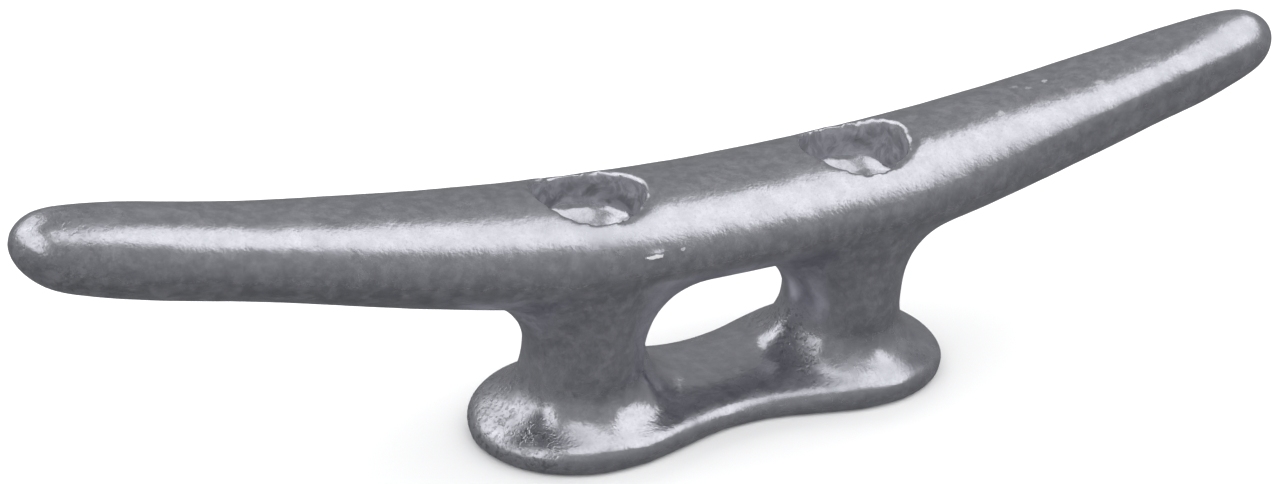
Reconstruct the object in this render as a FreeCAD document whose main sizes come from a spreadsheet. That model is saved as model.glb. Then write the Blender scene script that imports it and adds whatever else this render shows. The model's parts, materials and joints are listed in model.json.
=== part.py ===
"""Open-base dock cleat, nominal 8 inch: one iron casting with two countersunk bolt holes.

Frame: +X along the horns, +Y across them, +Z up from the deck. The origin is on the deck face,
midway between the two bolt holes. Lengths are in millimetres and angles in degrees.
"""

import FreeCAD, Part
import math
import os

import Sketcher
from FreeCAD import Vector

# Driving dimensions: alias, value, what it measures.
DIMENSIONS = [
    ("overall_length", 203, "horn tip to horn tip"),
    ("crest_height", 38.1, "deck to the top of the bar at mid-length"),
    ("tip_crest_height", 50.0, "deck to the crest line, run on to the horn tip"),
    ("crest_softness", 70, "how gradually the crest starts to rise from mid-length"),
    ("eye_top_height", 23.0, "deck to the underside of the bar"),
    ("tip_underside_height", 39.5, "deck to the underside line, run on to the horn tip"),
    ("bar_width", 26.4, "across the bar at mid-length"),
    ("tip_width", 12.4, "across the horn, where its sides run on to the tip"),
    ("rise_start", 27, "mid-length to where the underside of the horn starts to rise"),
    ("narrowing_start", 20, "mid-length to where the sides of the horn start to close in"),
    ("taper_softness", 8, "how gradually the underside and the sides leave the level"),
    ("tip_rounding", 7.4, "length of the rounded end of a horn"),
    ("bolt_spacing", 44.5, "between the bolt holes, which are also the middles of the legs"),
    ("neck_height", 14.5, "deck to the neck of a leg"),
    ("neck_length", 17.2, "a leg at its neck, along the cleat"),
    ("neck_width", 21.0, "a leg at its neck, across the cleat"),
    ("shoulder_height", 30.5, "deck to where a leg is as wide as the bar"),
    ("shoulder_length", 24, "a leg at its shoulder, along the cleat"),
    ("shoulder_width", 26.2, "a leg at its shoulder, across the cleat"),
    ("foot_length", 22.0, "a leg at the deck, along the cleat"),
    ("foot_width", 26.0, "a leg at the deck, across the cleat"),
    ("foot_splay", 2.0, "how far a leg leans outwards at the deck"),
    ("throat_fillet", 12, "radius where a leg runs up into the bar"),
    ("foot_fillet", 8, "radius where a leg runs down into the base"),
    ("base_length", 79.2, "along the whole base"),
    ("pad_width", 31.0, "across the base under each leg"),
    ("waist_width", 23.0, "across the base at mid-length"),
    ("waist_edge", 1.8, "height of the straight side of the base at mid-length"),
    ("pad_edge", 2.8, "height of the straight side of the base under each leg"),
    ("base_crown", 3.8, "rise of the domed top above that side"),
    ("grinding_allowance", 1, "extra depth that the base is cast with and that is ground off level"),
    ("recess_diameter", 16.6, "well that lets the bolt head sit below the crest"),
    ("seat_height", 32.4, "deck to the top of the conical seat for the bolt head"),
    ("seat_angle", 82, "included angle of the seat"),
    ("bore_diameter", 9, "clearance hole for a 5/16 inch bolt"),
]

# Stations along half a horn, as fractions of its length up to the rounded end.
HORN_STATIONS = (0.0, 0.15, 0.3, 0.45, 0.6, 0.8, 1.0)
# Stations round the end of a horn, as degrees of a quarter turn: 0 is full size, 90 is the point.
TIP_TURNS = (25, 45, 62, 75, 84)
# Stations along half the waist of the base, as fractions of the way to the bolt hole.
WAIST_STATIONS = (0.0, 0.25, 0.5, 0.75, 1.0)
# Stations round the end of the base, as degrees of a quarter turn.
PAD_TURNS = (20, 38, 54, 68, 79, 86)
# Stations up a leg: -1 is the deck, 0 is the neck and 1 is the shoulder.
LEG_STATIONS = (-1.0, -0.7, -0.35, 0.0, 0.25, 0.5, 0.75, 1.0)
# A leg flares from its neck as this power of the distance.
LEG_FLARE_POWER = 1.8
# The height of the base falls off round its ends as this power of its width.
PAD_HEIGHT_POWER = 0.6

# Rough size of a new sketch, before its expressions set it.
DRAFT_SIZE = 10.0
# How far a tool or a leg runs past the surface that it meets, so that the two cross cleanly.
OVERRUN = 8.0
# How far the ground underside may be from the deck.
LEVEL_TOLERANCE = 0.001
# How far the two bolt holes' volumes may differ, as a fraction of one.
HOLE_TOLERANCE = 0.05

doc = FreeCAD.newDocument("DockCleat")


def make_sheet():
    """Put every driving dimension in the spreadsheet, under its alias."""
    sheet = doc.addObject("Spreadsheet::Sheet", "Dimensions")
    for row, (alias, value, meaning) in enumerate(DIMENSIONS, start=1):
        sheet.set(f"A{row}", meaning)
        sheet.set(f"B{row}", str(value))
        sheet.setAlias(f"B{row}", alias)
    doc.recompute()


def cell(alias):
    """The expression that reads one driving dimension."""
    return f"Dimensions.{alias}"


def origin_plane(body, role):
    """One of the body's own origin planes or axes."""
    return next(item for item in body.Origin.OriginFeatures if item.Role == role)


def new_sketch(body, name, plane, offset_axis=None, offset=None):
    """An empty sketch on an origin plane, moved along one of its own axes by an expression."""
    sketch = body.newObject("Sketcher::SketchObject", name)
    sketch.AttachmentSupport = [(origin_plane(body, plane), "")]
    sketch.MapMode = "FlatFace"
    if offset is not None:
        sketch.setExpression(f"AttachmentOffset.Base.{offset_axis}", offset)
    return sketch


def drive(sketch, name, expression, *constraint):
    """Add a named size to a sketch and bind it to an expression."""
    index = sketch.addConstraint(Sketcher.Constraint(*constraint))
    sketch.renameConstraint(index, name)
    sketch.setExpression(f".Constraints.{name}", expression)


# --- the bar and its two horns ------------------------------------------------------------------


def taper(along, start, softness):
    """0 up to start and 1 at the horn tip: straight in between, with a soft beginning."""
    run = f"hypot(max(0; {along} - {start}); {softness}) - {softness}"
    whole = f"hypot({cell('overall_length')} / 2 - {start}; {softness}) - {softness}"
    return f"(({run}) / ({whole}))"


def blend(first, last, part):
    """From one dimension to another as part goes from 0 to 1."""
    return f"({cell(first)} + ({cell(last)} - {cell(first)}) * {part})"


def horn_section(body, name, side, along, scale):
    """An oval section of the bar, at a distance along the cleat. scale shrinks it at the tips."""
    softness = cell("taper_softness")
    crest = blend("crest_height", "tip_crest_height", taper(along, 0, cell("crest_softness")))
    rise = taper(along, cell("rise_start"), softness)
    underside = blend("eye_top_height", "tip_underside_height", rise)
    width = blend("bar_width", "tip_width", taper(along, cell("narrowing_start"), softness))

    sketch = new_sketch(body, name, "YZ_Plane", "z", f"{side} * ({along})")
    centre = Vector(0, DRAFT_SIZE, 0)
    wide_end = Vector(DRAFT_SIZE, DRAFT_SIZE, 0)
    high_end = Vector(0, DRAFT_SIZE * 1.5, 0)
    oval = sketch.addGeometry(Part.Ellipse(wide_end, high_end, centre))
    sketch.exposeInternalGeometry(oval)
    across, up = oval + 1, oval + 2
    sketch.addConstraint(Sketcher.Constraint("PointOnObject", oval, 3, -2))
    sketch.addConstraint(Sketcher.Constraint("Horizontal", across))
    drive(sketch, "width", f"{scale} * {width}", "Distance", across, DRAFT_SIZE * 2)
    drive(sketch, "depth", f"{scale} * ({crest} - {underside})", "Distance", up, DRAFT_SIZE)
    drive(sketch, "height", f"({crest} + {underside}) / 2", "DistanceY", -1, 1, oval, 3, DRAFT_SIZE)
    return sketch


def add_horns(body):
    """Loft the bar through its oval sections, from one rounded horn tip to the other."""
    straight = f"({cell('overall_length')} / 2 - {cell('tip_rounding')})"
    last_turn = math.sin(math.radians(TIP_TURNS[-1]))
    stations = [(f"{straight} * {fraction}", 1.0) for fraction in HORN_STATIONS]
    for turn in TIP_TURNS:
        reach = math.sin(math.radians(turn)) / last_turn
        scale = math.cos(math.radians(turn))
        stations.append((f"{straight} + {cell('tip_rounding')} * {reach:.5f}", round(scale, 5)))

    left = [(-1, along, scale) for along, scale in reversed(stations[1:])]
    right = [(1, along, scale) for along, scale in stations]
    sections = [
        horn_section(body, f"HornSection{number:02d}", *station)
        for number, station in enumerate(left + right, start=1)
    ]
    horns = body.newObject("PartDesign::AdditiveLoft", "Horns")
    horns.Profile = sections[0]
    horns.Sections = sections[1:]
    return horns


# --- the base ----------------------------------------------------------------------------------


def base_section(body, name, side, along, width, edge_height, height_scale):
    """A section of the base as cast: straight sides that start below the deck, and a domed top."""
    sketch = new_sketch(body, name, "YZ_Plane", "z", f"{side} * ({along})")
    half, edge = DRAFT_SIZE, DRAFT_SIZE / 4
    low_left, low_right = Vector(-half, -edge, 0), Vector(half, -edge, 0)
    high_left, high_right = Vector(-half, edge, 0), Vector(half, edge, 0)
    crown = Part.Ellipse(high_right, Vector(0, edge * 2, 0), Vector(0, edge, 0))
    bottom = sketch.addGeometry(Part.LineSegment(low_left, low_right))
    right = sketch.addGeometry(Part.LineSegment(low_right, high_right))
    dome = sketch.addGeometry(Part.ArcOfEllipse(crown, 0, math.pi))
    left = sketch.addGeometry(Part.LineSegment(high_left, low_left))
    sketch.exposeInternalGeometry(dome)
    across, up = left + 1, left + 2
    for rule in (
        ("Coincident", bottom, 2, right, 1),
        ("Coincident", right, 2, dome, 1),
        ("Coincident", dome, 2, left, 1),
        ("Coincident", left, 2, bottom, 1),
        ("Horizontal", bottom),
        ("Vertical", right),
        ("Vertical", left),
        ("PointOnObject", dome, 3, -2),
        ("Horizontal", across),
        ("Horizontal", dome, 3, dome, 1),
        ("Horizontal", dome, 3, dome, 2),
    ):
        sketch.addConstraint(Sketcher.Constraint(*rule))
    drive(sketch, "width", width, "DistanceX", bottom, 1, bottom, 2, half * 2)
    drive(sketch, "below", cell("grinding_allowance"), "DistanceY", bottom, 2, -1, 1, edge)
    drive(sketch, "side", f"{height_scale} * {edge_height}", "DistanceY", -1, 1, dome, 1, edge)
    drive(sketch, "crown", f"2 * {height_scale} * {cell('base_crown')}", "Distance", up, edge * 2)
    return sketch


def add_base(body):
    """Loft the base: a waist between the legs, and a round pad with a domed end under each."""
    stations = []
    for fraction in WAIST_STATIONS:
        part = round((1 - math.cos(math.pi * fraction)) / 2, 5)
        along = f"{cell('bolt_spacing')} / 2 * {fraction}"
        width = blend("waist_width", "pad_width", part)
        stations.append((along, width, blend("waist_edge", "pad_edge", part), 1.0))
    last_turn = math.sin(math.radians(PAD_TURNS[-1]))
    overhang = f"({cell('base_length')} - {cell('bolt_spacing')}) / 2"
    for turn in PAD_TURNS:
        reach = math.sin(math.radians(turn)) / last_turn
        scale = math.cos(math.radians(turn))
        along = f"{cell('bolt_spacing')} / 2 + {overhang} * {reach:.5f}"
        width = f"{cell('pad_width')} * {scale:.5f}"
        stations.append((along, width, cell("pad_edge"), round(scale**PAD_HEIGHT_POWER, 5)))

    left = [(-1, *station) for station in reversed(stations[1:])]
    right = [(1, *station) for station in stations]
    sections = [
        base_section(body, f"BaseSection{number:02d}", *station)
        for number, station in enumerate(left + right, start=1)
    ]
    base = body.newObject("PartDesign::AdditiveLoft", "Base")
    base.Profile = sections[0]
    base.Sections = sections[1:]
    doc.recompute()


def grind_base(body):
    """Cut away what the base is cast with below the deck, which leaves it flat to stand on."""
    sketch = new_sketch(body, "DeckFace", "XY_Plane")
    half = DRAFT_SIZE
    corners = [(-half, -half), (half, -half), (half, half), (-half, half)]
    points = [Vector(x, y, 0) for x, y in corners]
    for start, end in zip(points, points[1:] + points[:1]):
        sketch.addGeometry(Part.LineSegment(start, end))
    for line in range(4):
        sketch.addConstraint(Sketcher.Constraint("Coincident", line, 2, (line + 1) % 4, 1))
        direction = "Vertical" if line % 2 else "Horizontal"
        sketch.addConstraint(Sketcher.Constraint(direction, line))
    sketch.addConstraint(Sketcher.Constraint("Symmetric", 0, 1, 2, 1, -1, 1))
    drive(sketch, "length", f"{cell('base_length')} + {OVERRUN}", "Distance", 0, half * 2)
    drive(sketch, "width", f"{cell('pad_width')} + {OVERRUN}", "Distance", 1, half * 2)
    doc.recompute()

    before = body.Tip.Shape.Volume
    cut = body.newObject("PartDesign::Pocket", "GroundBase")
    cut.Profile = sketch
    cut.setExpression("Length", f"{cell('grinding_allowance')} * 2")
    doc.recompute()
    lowest = cut.Shape.optimalBoundingBox(True, False).ZMin
    if cut.Shape.Volume >= before or abs(lowest) > LEVEL_TOLERANCE:
        raise RuntimeError("the base isn't ground level")


# --- the legs ----------------------------------------------------------------------------------


def leg_section(body, name, height, lean, length, width):
    """An oval section of a leg, level, at a height above the deck."""
    sketch = new_sketch(body, name, "XY_Plane", "z", height)
    sketch.setExpression("AttachmentOffset.Base.x", f"{cell('bolt_spacing')} / 2 + {lean}")
    wide_end = Vector(0, DRAFT_SIZE, 0)
    long_end = Vector(-DRAFT_SIZE * 0.9, 0, 0)
    oval = sketch.addGeometry(Part.Ellipse(wide_end, long_end, Vector(0, 0, 0)))
    sketch.exposeInternalGeometry(oval)
    across, along = oval + 1, oval + 2
    sketch.addConstraint(Sketcher.Constraint("Coincident", oval, 3, -1, 1))
    sketch.addConstraint(Sketcher.Constraint("Vertical", across))
    drive(sketch, "width", width, "Distance", across, DRAFT_SIZE * 2)
    drive(sketch, "length", length, "Distance", along, DRAFT_SIZE * 1.8)
    return sketch


def add_legs(body):
    """Loft one waisted leg from the deck up into the bar, and mirror it."""
    sections = []
    for number, station in enumerate(LEG_STATIONS, start=1):
        end = "shoulder" if station > 0 else "foot"
        part = round(abs(station) ** LEG_FLARE_POWER, 5)
        end_height = cell("shoulder_height") if station > 0 else "0"
        height = f"{cell('neck_height')} + ({end_height} - {cell('neck_height')}) * {abs(station)}"
        length = blend("neck_length", f"{end}_length", part)
        width = blend("neck_width", f"{end}_width", part)
        lean = "0" if station > 0 else f"{cell('foot_splay')} * {part}"
        sections.append(leg_section(body, f"LegSection{number:02d}", height, lean, length, width))
    doc.recompute()

    leg = body.newObject("PartDesign::AdditiveLoft", "Leg")
    leg.Profile = sections[0]
    leg.Sections = sections[1:]
    doc.recompute()
    mirror = body.newObject("PartDesign::Mirrored", "BothLegs")
    mirror.Originals = [leg]
    mirror.MirrorPlane = (origin_plane(body, "YZ_Plane"), [""])
    body.Tip = mirror
    doc.recompute()


def ring_edges(shape, low, high):
    """The edges that run right round a leg and lie between two heights."""
    names = []
    for number, edge in enumerate(shape.Edges, start=1):
        box = edge.BoundBox
        if low < box.ZMin and box.ZMax < high and min(box.XLength, box.YLength) > DRAFT_SIZE:
            names.append(f"Edge{number}")
    return names


def add_fillet(body, name, base, radius, low, high):
    """Round the corner where the legs meet the base or the bar."""
    fillet = body.newObject("PartDesign::Fillet", name)
    fillet.Base = (base, ring_edges(base.Shape, low, high))
    fillet.setExpression("Radius", cell(radius))
    doc.recompute()
    return fillet


# --- the bolt holes ----------------------------------------------------------------------------


def add_bolt_holes(body):
    """Cut one bolt hole as a turned profile, from the well at the crest to the deck, and mirror it."""
    sketch = new_sketch(body, "BoltHoleProfile", "XZ_Plane", "x", f"{cell('bolt_spacing')} / 2")
    bore, well, seat_low, seat_high, low, high = 4.0, 8.0, 28.0, 32.0, -8.0, 60.0
    corners = [(0, low), (bore, low), (bore, seat_low), (well, seat_high), (well, high), (0, high)]
    points = [Vector(x, y, 0) for x, y in corners]
    for start, end in zip(points, points[1:] + points[:1]):
        sketch.addGeometry(Part.LineSegment(start, end))
    floor, bore_wall, seat, well_wall, lid, axis = range(len(points))
    for line in (floor, bore_wall, seat, well_wall, lid):
        sketch.addConstraint(Sketcher.Constraint("Coincident", line, 2, line + 1, 1))
    sketch.addConstraint(Sketcher.Constraint("Coincident", axis, 2, floor, 1))
    for line in (floor, lid):
        sketch.addConstraint(Sketcher.Constraint("Horizontal", line))
    for line in (bore_wall, well_wall, axis):
        sketch.addConstraint(Sketcher.Constraint("Vertical", line))
    sketch.addConstraint(Sketcher.Constraint("PointOnObject", axis, 1, -2))
    run = f"({cell('recess_diameter')} - {cell('bore_diameter')}) / 2"
    depth = f"({run} / tan({cell('seat_angle')} / 2))"
    drive(sketch, "bore", f"{cell('bore_diameter')} / 2", "DistanceX", floor, 1, floor, 2, bore)
    drive(sketch, "well", f"{cell('recess_diameter')} / 2", "DistanceX", lid, 2, lid, 1, well)
    drive(sketch, "seat", cell("seat_height"), "DistanceY", -1, 1, seat, 2, seat_high)
    drive(sketch, "cone", depth, "DistanceY", seat, 1, seat, 2, seat_high - seat_low)
    drive(sketch, "below", str(OVERRUN), "DistanceY", floor, 1, -1, 1, -low)
    above = f"{cell('crest_height')} + {OVERRUN}"
    drive(sketch, "above", above, "DistanceY", -1, 1, lid, 2, high)
    doc.recompute()

    before = body.Tip.Shape.Volume
    hole = body.newObject("PartDesign::Groove", "BoltHole")
    hole.Profile = sketch
    hole.ReferenceAxis = (sketch, ["V_Axis"])
    hole.Angle = 360
    doc.recompute()
    mirror = body.newObject("PartDesign::Mirrored", "BothBoltHoles")
    mirror.Originals = [hole]
    mirror.MirrorPlane = (origin_plane(body, "YZ_Plane"), [""])
    body.Tip = mirror
    doc.recompute()
    one, both = before - hole.Shape.Volume, before - mirror.Shape.Volume
    if one <= 0 or abs(both - 2 * one) > HOLE_TOLERANCE * one:
        raise RuntimeError(f"the bolt holes cut {one:.0f} and {both:.0f} mm3")


# --- the casting -------------------------------------------------------------------------------


def make_casting():
    """Base, legs, bar and horns in one body, with cast fillets and two bolt holes."""
    body = doc.addObject("PartDesign::Body", "CleatCasting")
    body.Label = "cleat_casting"
    add_base(body)
    grind_base(body)
    add_legs(body)
    horns = add_horns(body)
    doc.recompute()
    middle = doc.Dimensions.neck_height
    top = doc.Dimensions.crest_height
    throats = add_fillet(body, "ThroatFillet", horns, "throat_fillet", middle, top)
    add_fillet(body, "FootFillet", throats, "foot_fillet", 0, middle)
    add_bolt_holes(body)
    body.Placement = FreeCAD.Placement()
    doc.recompute()
    return body


def check_document(parts):
    """Stop if any object failed, or if a part isn't one valid solid."""
    for item in doc.Objects:
        if "Invalid" in item.State or "Error" in item.State:
            raise RuntimeError(f"{item.Name} failed: {item.State}")
    for part in parts:
        shape = part.Shape
        if shape.isNull() or not shape.isValid() or len(shape.Solids) != 1:
            raise RuntimeError(f"{part.Label} isn't one valid solid")


def main():
    make_sheet()
    parts = [make_casting()]
    check_document(parts)
    os.makedirs("parts", exist_ok=True)
    for part in parts:
        part.Shape.exportStep(f"parts/{part.Label}.step")
        box = part.Shape.optimalBoundingBox()
        print(part.Label, f"{box.XLength:.2f} x {box.YLength:.2f} x {box.ZLength:.2f} mm,")
        print(f"{part.Shape.Volume / 1000:.2f} cm3, {len(part.Shape.Faces)} faces")


main()
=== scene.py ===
"""Galvanised open-base dock cleat: the looks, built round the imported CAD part.

The scene is in metres, in the part's own frame: +X along the horns, +Y across, +Z up from the deck.
The casting's mesh is shaped in millimetres, and MM turns those into metres. A pair of numbers such as
RIM_HEIGHT is a fade: nothing happens before the first, and all of it has by the second.
"""

import json
import math

import bpy
import numpy as np
from mathutils import Matrix, Vector, noise


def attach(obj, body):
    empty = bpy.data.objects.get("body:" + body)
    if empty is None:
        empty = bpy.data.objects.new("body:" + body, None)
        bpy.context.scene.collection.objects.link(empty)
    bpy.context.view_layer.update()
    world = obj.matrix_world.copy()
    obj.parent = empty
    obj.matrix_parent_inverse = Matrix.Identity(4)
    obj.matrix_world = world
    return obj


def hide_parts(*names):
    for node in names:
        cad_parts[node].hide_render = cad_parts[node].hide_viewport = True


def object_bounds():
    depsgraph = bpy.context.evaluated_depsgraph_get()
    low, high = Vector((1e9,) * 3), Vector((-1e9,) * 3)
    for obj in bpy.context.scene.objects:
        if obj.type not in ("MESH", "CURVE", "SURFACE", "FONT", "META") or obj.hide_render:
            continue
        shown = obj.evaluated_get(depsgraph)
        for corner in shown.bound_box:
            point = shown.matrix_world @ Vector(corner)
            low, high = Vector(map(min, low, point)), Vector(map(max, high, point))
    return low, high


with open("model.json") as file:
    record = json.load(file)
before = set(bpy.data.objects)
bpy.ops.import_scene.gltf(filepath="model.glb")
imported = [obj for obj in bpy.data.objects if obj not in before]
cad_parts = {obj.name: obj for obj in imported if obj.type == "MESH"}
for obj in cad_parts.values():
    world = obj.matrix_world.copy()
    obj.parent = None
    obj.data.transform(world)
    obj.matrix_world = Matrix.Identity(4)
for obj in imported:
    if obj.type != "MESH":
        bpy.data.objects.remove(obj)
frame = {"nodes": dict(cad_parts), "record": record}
cad_low, cad_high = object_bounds()

MM = 0.001
scene = bpy.context.scene
bolts = next(mount for mount in frame["record"]["mounts"] if mount["name"] == "deck_bolts")
# How far each bolt hole is from the middle, and its bore's radius.
BOLT_X = bolts["dims"]["spacing_x_mm"] / 2
BORE_RADIUS = bolts["dims"]["hole_r_mm"]


# --- the casting's mesh -------------------------------------------------------------------------

# The cell of the even mesh: finer cells would make more triangles than one piece may have.
VOXEL = 0.52
# How far one pass of smoothing moves a point towards its neighbours' mean, as a part of the way.
SMOOTH_FACTOR = 0.5
# Passes over the whole mesh, and more over its rims and deck edge.
SMOOTH_PASSES = 5
CORNER_PASSES = 22


def apply_modifiers(piece):
    """Replace a piece's mesh with what its modifiers make of it."""
    graph = bpy.context.evaluated_depsgraph_get()
    made = bpy.data.meshes.new_from_object(piece.evaluated_get(graph))
    piece.modifiers.clear()
    piece.data = made


def cast_skin(name, node):
    """An even mesh of the CAD casting with its sharp corners eased, as molten zinc leaves them."""
    piece = bpy.data.objects.new(name, frame["nodes"][node].data.copy())
    scene.collection.objects.link(piece)
    remesh = piece.modifiers.new("even", "REMESH")
    remesh.mode = "VOXEL"
    remesh.voxel_size = VOXEL * MM
    ease = piece.modifiers.new("ease", "SMOOTH")
    ease.factor = SMOOTH_FACTOR
    ease.iterations = SMOOTH_PASSES
    apply_modifiers(piece)
    return piece


def read_points(mesh):
    """The mesh's points, in millimetres, and their normals, as arrays."""
    points = np.zeros(len(mesh.vertices) * 3)
    normals = np.zeros(len(mesh.vertices) * 3)
    mesh.vertices.foreach_get("co", points)
    mesh.vertex_normals.foreach_get("vector", normals)
    return points.reshape(-1, 3) / MM, normals.reshape(-1, 3)


def write_points(mesh, points):
    """Put changed points, in millimetres, back in the mesh."""
    mesh.vertices.foreach_set("co", (points * MM).ravel())
    mesh.update()


def write_mask(mesh, name, values):
    """Store a number from 0 to 1 at each point, for the material to read."""
    layer = mesh.attributes.new(name, "FLOAT", "POINT")
    layer.data.foreach_set("value", np.clip(values, 0, 1))


# How far one seed's noise lies from the next one's, along each axis.
SEED_STEPS = (17.3, 5.1, 9.7)
# Each octave of noise is half as high as the one before, and its lumps are half as large.
OCTAVE_FALL = 1.0
OCTAVE_RATIO = 2.0
OCTAVES = 2


def noise_field(points, wavelength, seed):
    """Smooth noise of about -1 to 1 at each point, with its largest lumps a wavelength across."""
    shift = Vector([seed * step for step in SEED_STEPS])
    scale = 1 / wavelength
    return np.array([
        noise.fractal(
            Vector(point) * scale + shift, OCTAVE_FALL, OCTAVE_RATIO, OCTAVES, noise_basis="PERLIN_ORIGINAL"
        )
        for point in points
    ])


def smooth_step(value, low, high):
    """0 below low, 1 above high, and an eased ramp between them."""
    part = np.clip((value - low) / (high - low), 0, 1)
    return part * part * (3 - 2 * part)


def bell(value, middle, width):
    """1 at the middle, falling away evenly on both sides of it."""
    return np.exp(-(((value - middle) / width) ** 2))


def ease_corners(mesh, points, weight):
    """Round the corners where weight is 1: each pass draws a point towards its neighbours' mean."""
    edges = np.zeros(len(mesh.edges) * 2, dtype=int)
    mesh.edges.foreach_get("vertices", edges)
    first, second = edges.reshape(-1, 2).T
    total = len(points)
    neighbours = np.bincount(edges, minlength=total)
    for _ in range(CORNER_PASSES):
        sums = [
            np.bincount(first, points[second, axis], total) + np.bincount(second, points[first, axis], total)
            for axis in range(3)
        ]
        means = np.stack(sums, axis=1) / neighbours[:, None]
        points += (means - points) * (SMOOTH_FACTOR * weight)[:, None]


# --- zinc in the wells --------------------------------------------------------------------------

WELL_RADIUS = 8.3
# Heights at which the seats and the walls begin, and distances from the axis at which things end.
SEAT_HEIGHT = (26.0, 28.0)
WALL_HEIGHT = (31.0, 33.2)
WELL_REACH = (9.2, 11.0)
WALL_REACH = (8.6, 10.0)
SEAT_REACH = 9.0
# The part of each rim that is eased, by height and by distance from the axis.
RIM_HEIGHT = (32.5, 34.5)
RIM_REACH = (9.4, 11.5)

# The widths of the lumps, and the seeds of the noise that places them.
COARSE_LUMP, COARSE_SEED = 4.6, 10
FINE_LUMP, FINE_SEED = 1.7, 20
RAGGED_LUMP, RAGGED_SEED = 2.6, 30

# How thick the zinc is on the walls: evenly, and at the tops of coarse and fine lumps.
WALL_SKIN, WALL_COARSE, WALL_FINE = 0.2, 0.55, 0.16
# How deep it is pooled at the bore's edge, and how high the lumps on the seats are.
POOL_DEPTH, SEAT_COARSE, SEAT_FINE = 1.3, 0.16, 0.07

# The bead on each far rim: its distance from the axis, how far that wanders, its width and its height.
BEAD_REACH, BEAD_WANDER, BEAD_WIDTH = 8.9, 0.25, 0.6
BEAD_HEIGHT, BEAD_UNEVEN = 0.26, 0.34
# It lies where the surface faces up, and on the far side: the sine of the bearing says how far round.
BEAD_FACING = (0.2, 0.7)
BEAD_BEARING = (-0.5, 0.4)


def well_polar(points, side):
    """Each point's offset from a bolt hole's axis, its distance from it, and its bearing."""
    across = points[:, 0] - side * BOLT_X
    along = points[:, 1]
    return across, along, np.hypot(across, along), np.arctan2(along, across)


def rim_mask(points):
    """1 round the rims of the wells, 0 elsewhere."""
    mask = np.zeros(len(points))
    for side in (-1, 1):
        reach = well_polar(points, side)[2]
        mask += (1 - smooth_step(reach, *RIM_REACH)) * smooth_step(points[:, 2], *RIM_HEIGHT)
    return mask


def build_up_zinc(points, normals):
    """Lumps of zinc on the walls and far rims of the two wells, and pools on their seats.

    Returns a mask of the walls, where ash and dross stay.
    """
    walls = np.zeros(len(points))
    for side in (-1, 1):
        reach = well_polar(points, side)[2]
        near = smooth_step(points[:, 2], *SEAT_HEIGHT) * (1 - smooth_step(reach, *WELL_REACH))
        here = np.where(near > 0)[0]
        spots, facing, near = points[here], normals[here], near[here]
        across, along, reach, bearing = well_polar(spots, side)
        outward = np.stack([across / reach, along / reach, np.zeros(len(here))], axis=1)
        coarse = noise_field(spots, COARSE_LUMP, COARSE_SEED + side)
        fine = noise_field(spots, FINE_LUMP, FINE_SEED + side)
        ragged = noise_field(spots * (1, 1, 0), RAGGED_LUMP, RAGGED_SEED + side)

        wall = smooth_step(spots[:, 2], *WALL_HEIGHT) * (1 - smooth_step(reach, *WALL_REACH))
        inward = wall * (WALL_SKIN + WALL_COARSE * coarse + WALL_FINE * fine)

        seat = near * (1 - wall) * smooth_step(SEAT_REACH - reach, 0, 1)
        pool = POOL_DEPTH * np.clip((WELL_RADIUS - reach) / (WELL_RADIUS - BORE_RADIUS), 0, 1)
        swell = seat * (pool + SEAT_COARSE * coarse + SEAT_FINE * fine)

        bead = bell(reach + BEAD_WANDER * ragged, BEAD_REACH, BEAD_WIDTH)
        bead *= smooth_step(facing[:, 2], *BEAD_FACING) * smooth_step(np.sin(bearing), *BEAD_BEARING)
        bead *= np.clip(BEAD_HEIGHT + BEAD_UNEVEN * ragged, 0, 1)

        points[here] -= outward * inward[:, None]
        points[here, 2] += swell + bead
        walls[here] = np.maximum(walls[here], wall)
    return walls


# --- the rest of the casting's shape ------------------------------------------------------------

# The band of each foot that is drawn in: how far, and the band's middle height and half-height.
FOOT_DRAW = 1.35
FOOT_HEIGHT, FOOT_BAND = 9.0, 2.9
# Where it starts and stops round the foot, in degrees from the foot's outboard end.
FOOT_START = (30, 65)
FOOT_STOP = (100, 140)

# How far the right horn is squared, where along it that starts and stops, and how far a surface may
# face along the horn before it is left alone.
SQUARE_DEPTH = 0.38
SQUARE_START = (32, 66)
SQUARE_STOP = (78, 95)
SQUARE_ENDS = (0.4, 0.9)

# Drops of zinc on the near side: the place of each, its length, its width and its height.
DROPS = [
    (-17.5, -12.9, 33.0, 1.1, 0.45, 0.35),
    (-13.5, -12.9, 33.7, 0.4, 0.4, 0.3),
]

# The casting's unevenness, from broad to fine: how high, how far across, and the noise's seed.
UNDULATION = [(0.13, 24, 1), (0.05, 8, 2), (0.012, 2.5, 3)]

# How much the wells' rims are eased, where the deck edge ends, and where the flat underside does.
RIM_EASE = 0.3
DECK_EDGE = (1.0, 2.2)
ON_DECK = (0.3, 2.0)


def straighten_feet(points, normals):
    """Draw the near and far sides of the feet in, so that the pads slope there like cones."""
    outboard = np.abs(points[:, 0]) - BOLT_X
    bearing = np.degrees(np.arctan2(np.abs(points[:, 1]), outboard))
    sides = smooth_step(bearing, *FOOT_START) * (1 - smooth_step(bearing, *FOOT_STOP))
    slope = sides * bell(points[:, 2], FOOT_HEIGHT, FOOT_BAND)
    points -= normals * (FOOT_DRAW * slope)[:, None]


def square_section(points, normals):
    """Make the right horn flatter than the left one on its top, sides and underside."""
    x = points[:, 0]
    amount = SQUARE_DEPTH * smooth_step(x, *SQUARE_START) * (1 - smooth_step(x, *SQUARE_STOP))
    turn = np.arctan2(np.abs(normals[:, 1]), normals[:, 2])
    level = 1 - smooth_step(np.abs(normals[:, 0]), *SQUARE_ENDS)
    # Four times the turn is a whole number of circles on the four flats, and half a circle out between.
    points -= normals * (amount * level * np.cos(4 * turn))[:, None]


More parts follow.
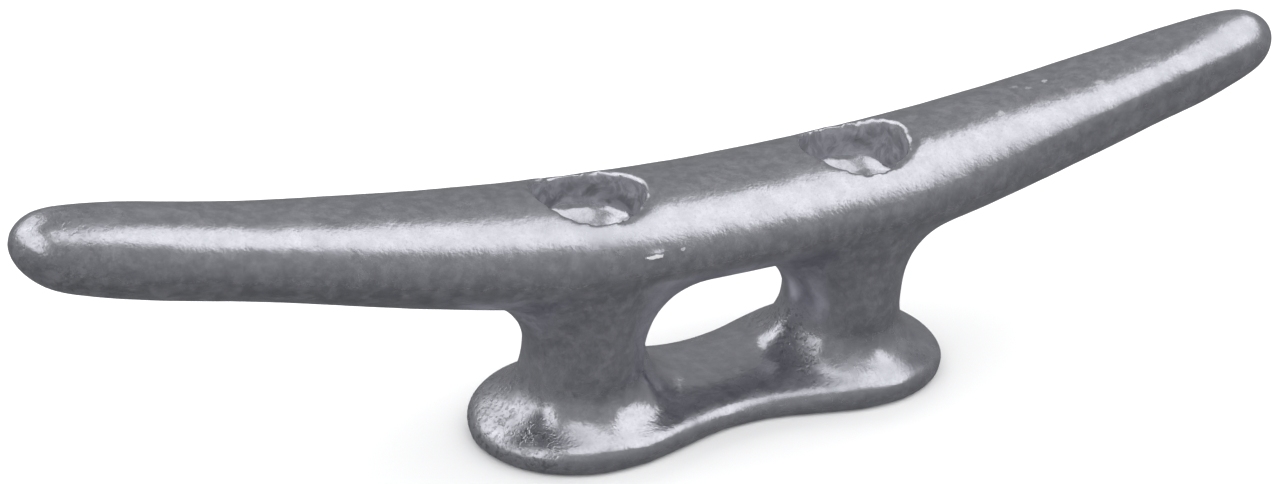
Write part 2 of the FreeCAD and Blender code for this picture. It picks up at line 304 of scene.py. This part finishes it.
def add_drops(points, normals):
    """Small raised drops of zinc."""
    for x, y, z, length, width, height in DROPS:
        gap = points - (x, y, z)
        shape = (gap[:, 0] / length) ** 2 + (gap[:, 1] ** 2 + gap[:, 2] ** 2) / width**2
        points += normals * (height * np.exp(-shape))[:, None]


def shape_casting(mesh):
    """Give the even mesh the form of a casting dipped in zinc. Returns the mask of the wells' walls."""
    points, normals = read_points(mesh)
    walls = build_up_zinc(points, normals)
    straighten_feet(points, normals)
    square_section(points, normals)
    deck_edge = 1 - smooth_step(points[:, 2], *DECK_EDGE)
    ease_corners(mesh, points, np.maximum(RIM_EASE * rim_mask(points), deck_edge))
    lift = sum(height * noise_field(points, width, seed) for height, width, seed in UNDULATION)
    points += normals * (lift * smooth_step(points[:, 2], *ON_DECK))[:, None]
    add_drops(points, normals)
    write_points(mesh, points)
    return walls


# Where the zinc is pitted: the left pad's outboard end, the right foot's inner side and the left tip.
PAD_END = (28, 35)
PAD_TOP = (9, 13)
INNER_FOOT_X, INNER_FOOT_WIDTH = 12, 2.5
INNER_FOOT_LOW = (3, 6)
INNER_FOOT_TOP = (12, 15)
TIP = (84, 94)
TIP_PITS = 0.5

# What is sheltered: the legs, between their lower and upper ends, and all that faces down.
LEG_LOW = (9, 13)
LEG_TOP = (24, 30)
FACING_DOWN = (0.0, 0.5)
# How far up a wall's surface may face before it counts as its rim.
FACING_UP = (0.1, 0.45)


def store_masks(mesh, walls):
    """Store on the mesh where it is rough with ash, where it is pitted and where it is sheltered."""
    points, normals = read_points(mesh)
    x, z, up = points[:, 0], points[:, 2], normals[:, 2]
    pad_end = smooth_step(-x, *PAD_END) * (1 - smooth_step(z, *PAD_TOP))
    inner_foot = bell(x, INNER_FOOT_X, INNER_FOOT_WIDTH) * smooth_step(z, *INNER_FOOT_LOW)
    inner_foot *= 1 - smooth_step(z, *INNER_FOOT_TOP)
    tip = TIP_PITS * smooth_step(-x, *TIP)
    legs = smooth_step(z, *LEG_LOW) * (1 - smooth_step(z, *LEG_TOP))
    write_mask(mesh, "walls", walls * (1 - smooth_step(up, *FACING_UP)))
    write_mask(mesh, "pitted", np.maximum(np.maximum(pad_end, inner_foot), tip))
    write_mask(mesh, "sheltered", np.maximum(legs, smooth_step(-up, *FACING_DOWN)))


casting = cast_skin("galvanised_casting", "cleat_casting")
store_masks(casting.data, shape_casting(casting.data))
for polygon in casting.data.polygons:
    polygon.use_smooth = True


# --- material -----------------------------------------------------------------------------------

# The sockets of a Mix node that is set to colours.
MIX_PART, MIX_FIRST, MIX_SECOND, MIX_RESULT = 0, 6, 7, 2
# Where a spot's frayed edge starts and ends, as parts of its half-size.
SPOT_EDGE = (0.9, 1.3)


def new_material(name):
    """A node material with nothing in it but its output."""
    material = bpy.data.materials.new(name)
    material.use_nodes = True
    tree = material.node_tree
    tree.nodes.clear()
    output = tree.nodes.new("ShaderNodeOutputMaterial")
    return material, tree, output


class Graph:
    """Short ways to add nodes to a material."""

    def __init__(self, tree):
        self.tree = tree
        self.place = self.add("ShaderNodeTexCoord").outputs["Object"]

    def add(self, kind, **inputs):
        """A node whose inputs are set to numbers or fed from other sockets."""
        node = self.tree.nodes.new(kind)
        for name, value in inputs.items():
            self.feed(node.inputs[name.replace("_", " ")], value)
        return node

    def feed(self, socket, value):
        """Set a socket, or link another one to it."""
        if isinstance(value, bpy.types.NodeSocket):
            self.tree.links.new(value, socket)
        else:
            socket.default_value = value

    def noise(self, wavelength, detail=2.0, roughness=0.5, distortion=0.0):
        """Noise of 0 to 1, with lumps a number of millimetres across."""
        node = self.add("ShaderNodeTexNoise", Vector=self.place, Scale=1 / (wavelength * MM), Detail=detail)
        node.inputs["Roughness"].default_value = roughness
        node.inputs["Distortion"].default_value = distortion
        return node.outputs["Fac"]

    def mask(self, name):
        """A number stored on the mesh."""
        node = self.add("ShaderNodeAttribute")
        node.attribute_name = name
        return node.outputs["Fac"]

    def math(self, operation, first, second=0.0):
        """Two numbers combined."""
        node = self.tree.nodes.new("ShaderNodeMath")
        node.operation = operation
        self.feed(node.inputs[0], first)
        self.feed(node.inputs[1], second)
        return node.outputs[0]

    def vector_math(self, operation, first, second=None):
        """Two vectors combined, or one measured."""
        node = self.tree.nodes.new("ShaderNodeVectorMath")
        node.operation = operation
        self.feed(node.inputs[0], first)
        if second is not None:
            self.feed(node.inputs[1], second)
        return node.outputs["Value" if operation == "LENGTH" else "Vector"]

    def remap(self, value, low, high, out_low, out_high):
        """A number moved from one range to another and kept inside it."""
        node = self.add("ShaderNodeMapRange", Value=value)
        ends = {"From Min": low, "From Max": high, "To Min": out_low, "To Max": out_high}
        for name, number in ends.items():
            self.feed(node.inputs[name], number)
        return node.outputs["Result"]

    def spot(self, middle, reach, frayed):
        """1 inside an oval spot and 0 outside it, with a frayed edge. Lengths in millimetres."""
        offset = self.vector_math("SUBTRACT", self.place, tuple(part * MM for part in middle))
        scaled = self.vector_math("DIVIDE", offset, tuple(part * MM for part in reach))
        length = self.vector_math("LENGTH", scaled)
        return self.remap(self.math("ADD", length, frayed), *SPOT_EDGE, 1, 0)

    def mix(self, part, first, second):
        """One colour fading into another."""
        node = self.tree.nodes.new("ShaderNodeMix")
        node.data_type = "RGBA"
        self.feed(node.inputs[MIX_PART], part)
        self.feed(node.inputs[MIX_FIRST], first)
        self.feed(node.inputs[MIX_SECOND], second)
        return node.outputs[MIX_RESULT]

    def bump(self, height, distance, strength=1.0, normal=None):
        """A surface disturbed by a height, whose full range is a number of millimetres."""
        node = self.add("ShaderNodeBump", Height=height, Strength=strength, Distance=distance * MM)
        if normal is not None:
            self.feed(node.inputs["Normal"], normal)
        return node.outputs["Normal"]


FRESH_ZINC = (0.67, 0.672, 0.72, 1)
DULL_ZINC = (0.585, 0.59, 0.64, 1)
MOTTLED_ZINC = (0.53, 0.535, 0.58, 1)
DARK_GRAIN = (0.45, 0.455, 0.49, 1)
DROSS = (0.34, 0.345, 0.37, 1)
# The colour of the painted shade at the bottoms of pits.
PIT_SHADE = (0.3, 0.305, 0.33, 1)
ASH = (0.8, 0.8, 0.82, 1)

# The heights of the relief.
BLOTCH_RELIEF = 0.07
GRAIN_RELIEF = 0.038
DUST_RELIEF = 0.022
PIT_RELIEF = 0.045
FINE_STRENGTH = 0.9

# Specks of zinc ash on the near side and the crest: the middle and half-size of each, and its strength.
SPECKS = [
    ((-17.6, -12.9, 32.8), (1.15, 0.8, 0.26), 1.0),
    ((-13.2, -12.9, 33.0), (0.35, 0.8, 0.2), 0.5),
    ((57.6, 0.5, 42.8), (0.6, 0.5, 0.8), 0.45),
    ((52.5, 1.5, 42.2), (0.7, 0.5, 0.8), 0.25),
    ((54.0, 0.0, 42.3), (0.5, 0.5, 0.8), 0.25),
    ((46.0, -4.3, 40.6), (0.7, 0.5, 0.8), 0.4),
    ((64.5, -4.5, 43.3), (0.8, 0.5, 0.8), 0.35),
]


def galvanised_zinc():
    """Hot-dip zinc over a sand casting: bright blue-grey, finely lumpy, duller where it is coarse."""
    material, tree, output = new_material("galvanised_zinc")
    graph = Graph(tree)
    patches = graph.noise(26, 3, 0.55)
    blotches = graph.noise(6, 3, 0.6, 0.4)
    grain = graph.noise(1.3, 3, 0.6)
    dust = graph.noise(0.45, 2, 0.6)
    walls, pitted, sheltered = graph.mask("walls"), graph.mask("pitted"), graph.mask("sheltered")

    # Colour: fresh zinc, with duller patches of oxide, darker grains, and swirls of dross in the wells.
    oxide = graph.remap(patches, 0.4, 0.62, 0, 1)
    dull = graph.math("MULTIPLY", oxide, graph.remap(blotches, 0.35, 0.65, 0.3, 1))
    colour = graph.mix(dull, FRESH_ZINC, DULL_ZINC)
    mottle = graph.remap(graph.noise(2.6, 4, 0.7), 0.36, 0.64, 0, 0.75)
    colour = graph.mix(mottle, colour, MOTTLED_ZINC)
    speck = graph.remap(dust, 0.55, 0.72, 0, 0.4)
    colour = graph.mix(speck, colour, DARK_GRAIN)
    swirl = graph.remap(graph.noise(3.4, 3, 0.65, 1.5), 0.42, 0.6, 0.1, 0.85)
    colour = graph.mix(graph.math("MULTIPLY", walls, swirl), colour, DROSS)

    # Pits: low spots in the noise, with painted shade darkening their bottoms.
    pit = graph.remap(graph.noise(0.75, 2, 0.6), 0.36, 0.5, 0, 1)
    hole = graph.math("MULTIPLY", graph.math("SUBTRACT", 1.0, pit), pitted)
    colour = graph.mix(graph.math("MULTIPLY", hole, 0.7), colour, PIT_SHADE)

    # Specks of ash: pale and matt.
    frayed = graph.remap(dust, 0.2, 0.8, -0.5, 0.5)
    ash = 0.0
    for middle, reach, strength in SPECKS:
        spot = graph.spot(middle, reach, frayed)
        ash = graph.math("MAXIMUM", graph.math("MULTIPLY", spot, strength), ash)
    colour = graph.mix(ash, colour, ASH)

    # Metal, except for that ash, for what clings to the walls of the wells, and for a thin film of oxide.
    film = graph.remap(graph.noise(1.9, 4, 0.75), 0.42, 0.62, 0, 0.065)
    metal = graph.math("SUBTRACT", 1.0, film)
    for part, amount in ((walls, 0.3), (ash, 0.6)):
        metal = graph.math("SUBTRACT", metal, graph.math("MULTIPLY", part, amount))

    # Gloss: uneven in blotches, and duller on oxide and pitted zinc, in the wells and in shelter.
    gloss = graph.remap(blotches, 0.3, 0.7, 0.17, 0.26)
    for part, amount in ((dull, 0.05), (pitted, 0.06), (walls, 0.2), (sheltered, 0.16)):
        gloss = graph.math("ADD", gloss, graph.math("MULTIPLY", part, amount))

    # Relief: fine grain everywhere, and clusters of small pits where the zinc is pitted.
    pit_depth = graph.math("MULTIPLY", graph.remap(graph.noise(3.5, 2), 0.35, 0.55, 0.2, 1), pitted)
    relief = graph.bump(blotches, BLOTCH_RELIEF)
    relief = graph.bump(grain, GRAIN_RELIEF, FINE_STRENGTH, relief)
    relief = graph.bump(dust, DUST_RELIEF, FINE_STRENGTH, relief)
    relief = graph.bump(pit, PIT_RELIEF, pit_depth, relief)

    shader = graph.add(
        "ShaderNodeBsdfPrincipled", Base_Color=colour, Metallic=metal, Roughness=gloss, Normal=relief
    )
    tree.links.new(shader.outputs["BSDF"], output.inputs["Surface"])
    return material


casting.data.materials.clear()
casting.data.materials.append(galvanised_zinc())

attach(casting, "root")
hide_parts("cleat_casting")


# --- floor, camera and light --------------------------------------------------------------------

# Half the floor's side, in metres.
FLOOR_HALF = 3.0
FLOOR_GREY = (0.88, 0.88, 0.88, 1)
FLOOR_ROUGHNESS = 0.8
SENSOR_WIDTH = 36

# The surroundings' colour straight down and from 30 degrees above the level, and those angles' sines.
ROOM_LOW = (0.122, 0.124, 0.129, 1)
ROOM_HIGH = (0.29, 0.293, 0.301, 1)
ROOM_FADE = (-1, 0.5)


def make_floor():
    """A plain pale floor at the deck face, which the casting doesn't mirror."""
    mesh = bpy.data.meshes.new("floor")
    half = FLOOR_HALF
    corners = [(-half, -half, 0), (half, -half, 0), (half, half, 0), (-half, half, 0)]
    mesh.from_pydata(corners, [], [(0, 1, 2, 3)])
    floor = bpy.data.objects.new("floor", mesh)
    scene.collection.objects.link(floor)
    floor.location.z = cad_low.z
    material, tree, output = new_material("pale_floor")
    shader = tree.nodes.new("ShaderNodeBsdfPrincipled")
    shader.inputs["Base Color"].default_value = FLOOR_GREY
    shader.inputs["Roughness"].default_value = FLOOR_ROUGHNESS
    tree.links.new(shader.outputs["BSDF"], output.inputs["Surface"])
    mesh.materials.append(material)
    floor.visible_glossy = False


def make_camera(azimuth, elevation, roll, distance, target, lens):
    """A camera that looks at the target from an azimuth and elevation. Angles are in degrees."""
    az, el = math.radians(azimuth), math.radians(elevation)
    back = Vector((math.sin(az) * math.cos(el), -math.cos(az) * math.cos(el), math.sin(el)))
    data = bpy.data.cameras.new("camera")
    data.sensor_width = SENSOR_WIDTH
    data.lens = lens
    camera = bpy.data.objects.new("camera", data)
    scene.collection.objects.link(camera)
    turn = (-back).to_track_quat("-Z", "Y").to_matrix() @ Matrix.Rotation(math.radians(roll), 3, "Z")
    camera.matrix_world = Matrix.Translation(target + back * distance) @ turn.to_4x4()
    scene.camera = camera


def grey_room():
    """Dim surroundings, even from 30 degrees above the level up, and darker the lower they are."""
    world = bpy.data.worlds.new("studio")
    world.use_nodes = True
    graph = Graph(world.node_tree)
    generated = graph.place.node.outputs["Generated"]
    height = graph.add("ShaderNodeSeparateXYZ", Vector=generated).outputs["Z"]
    colour = graph.mix(graph.remap(height, *ROOM_FADE, 0, 1), ROOM_LOW, ROOM_HIGH)
    graph.feed(world.node_tree.nodes["Background"].inputs["Color"], colour)
    scene.world = world


def panel(name, middle, facing, size, radiance):
    """A rectangular light of even brightness, in metres. It shows in gloss and lights nothing matt."""
    data = bpy.data.lights.new(name, "AREA")
    data.shape = "RECTANGLE"
    data.size, data.size_y = size
    data.energy = radiance * math.pi * size[0] * size[1]
    lamp = bpy.data.objects.new(name, data)
    scene.collection.objects.link(lamp)
    lamp.location = middle
    lamp.rotation_euler = (-Vector(facing)).to_track_quat("Z", "Y").to_euler()
    lamp.visible_diffuse = False
    return lamp


make_floor()
make_camera(
    azimuth=-27.77, elevation=26.66, roll=2.07,
    distance=292.8 * MM, target=Vector((-13.4, 0, 28.3)) * MM, lens=56.65078,
)
grey_room()
scene.view_settings.view_transform = "Standard"

panel("window", (0.8, -0.12, 1.81), (-1, 0, 0), (1.48, 2.4), 0.95)
panel("side_window", (-0.8, 0.2, 1.1), (1, 0, 0), (1.5, 1.5), 0.9)
panel("back_window", (-0.42, 0.84, 0.95), (0.45, -0.89, 0), (0.7, 1.1), 0.85)
panel("skylight", (0.0, -0.18, 1.03), (0, 0, -1), (0.5, 0.5), 0.85)

# The fill light is the other way round: it lights what is matt, and doesn't show in gloss.
fill = panel("fill", (0, 0, 2.0), (0, 0, -1), (8.0, 8.0), 1.6)
fill.visible_glossy = False
fill.visible_diffuse = True
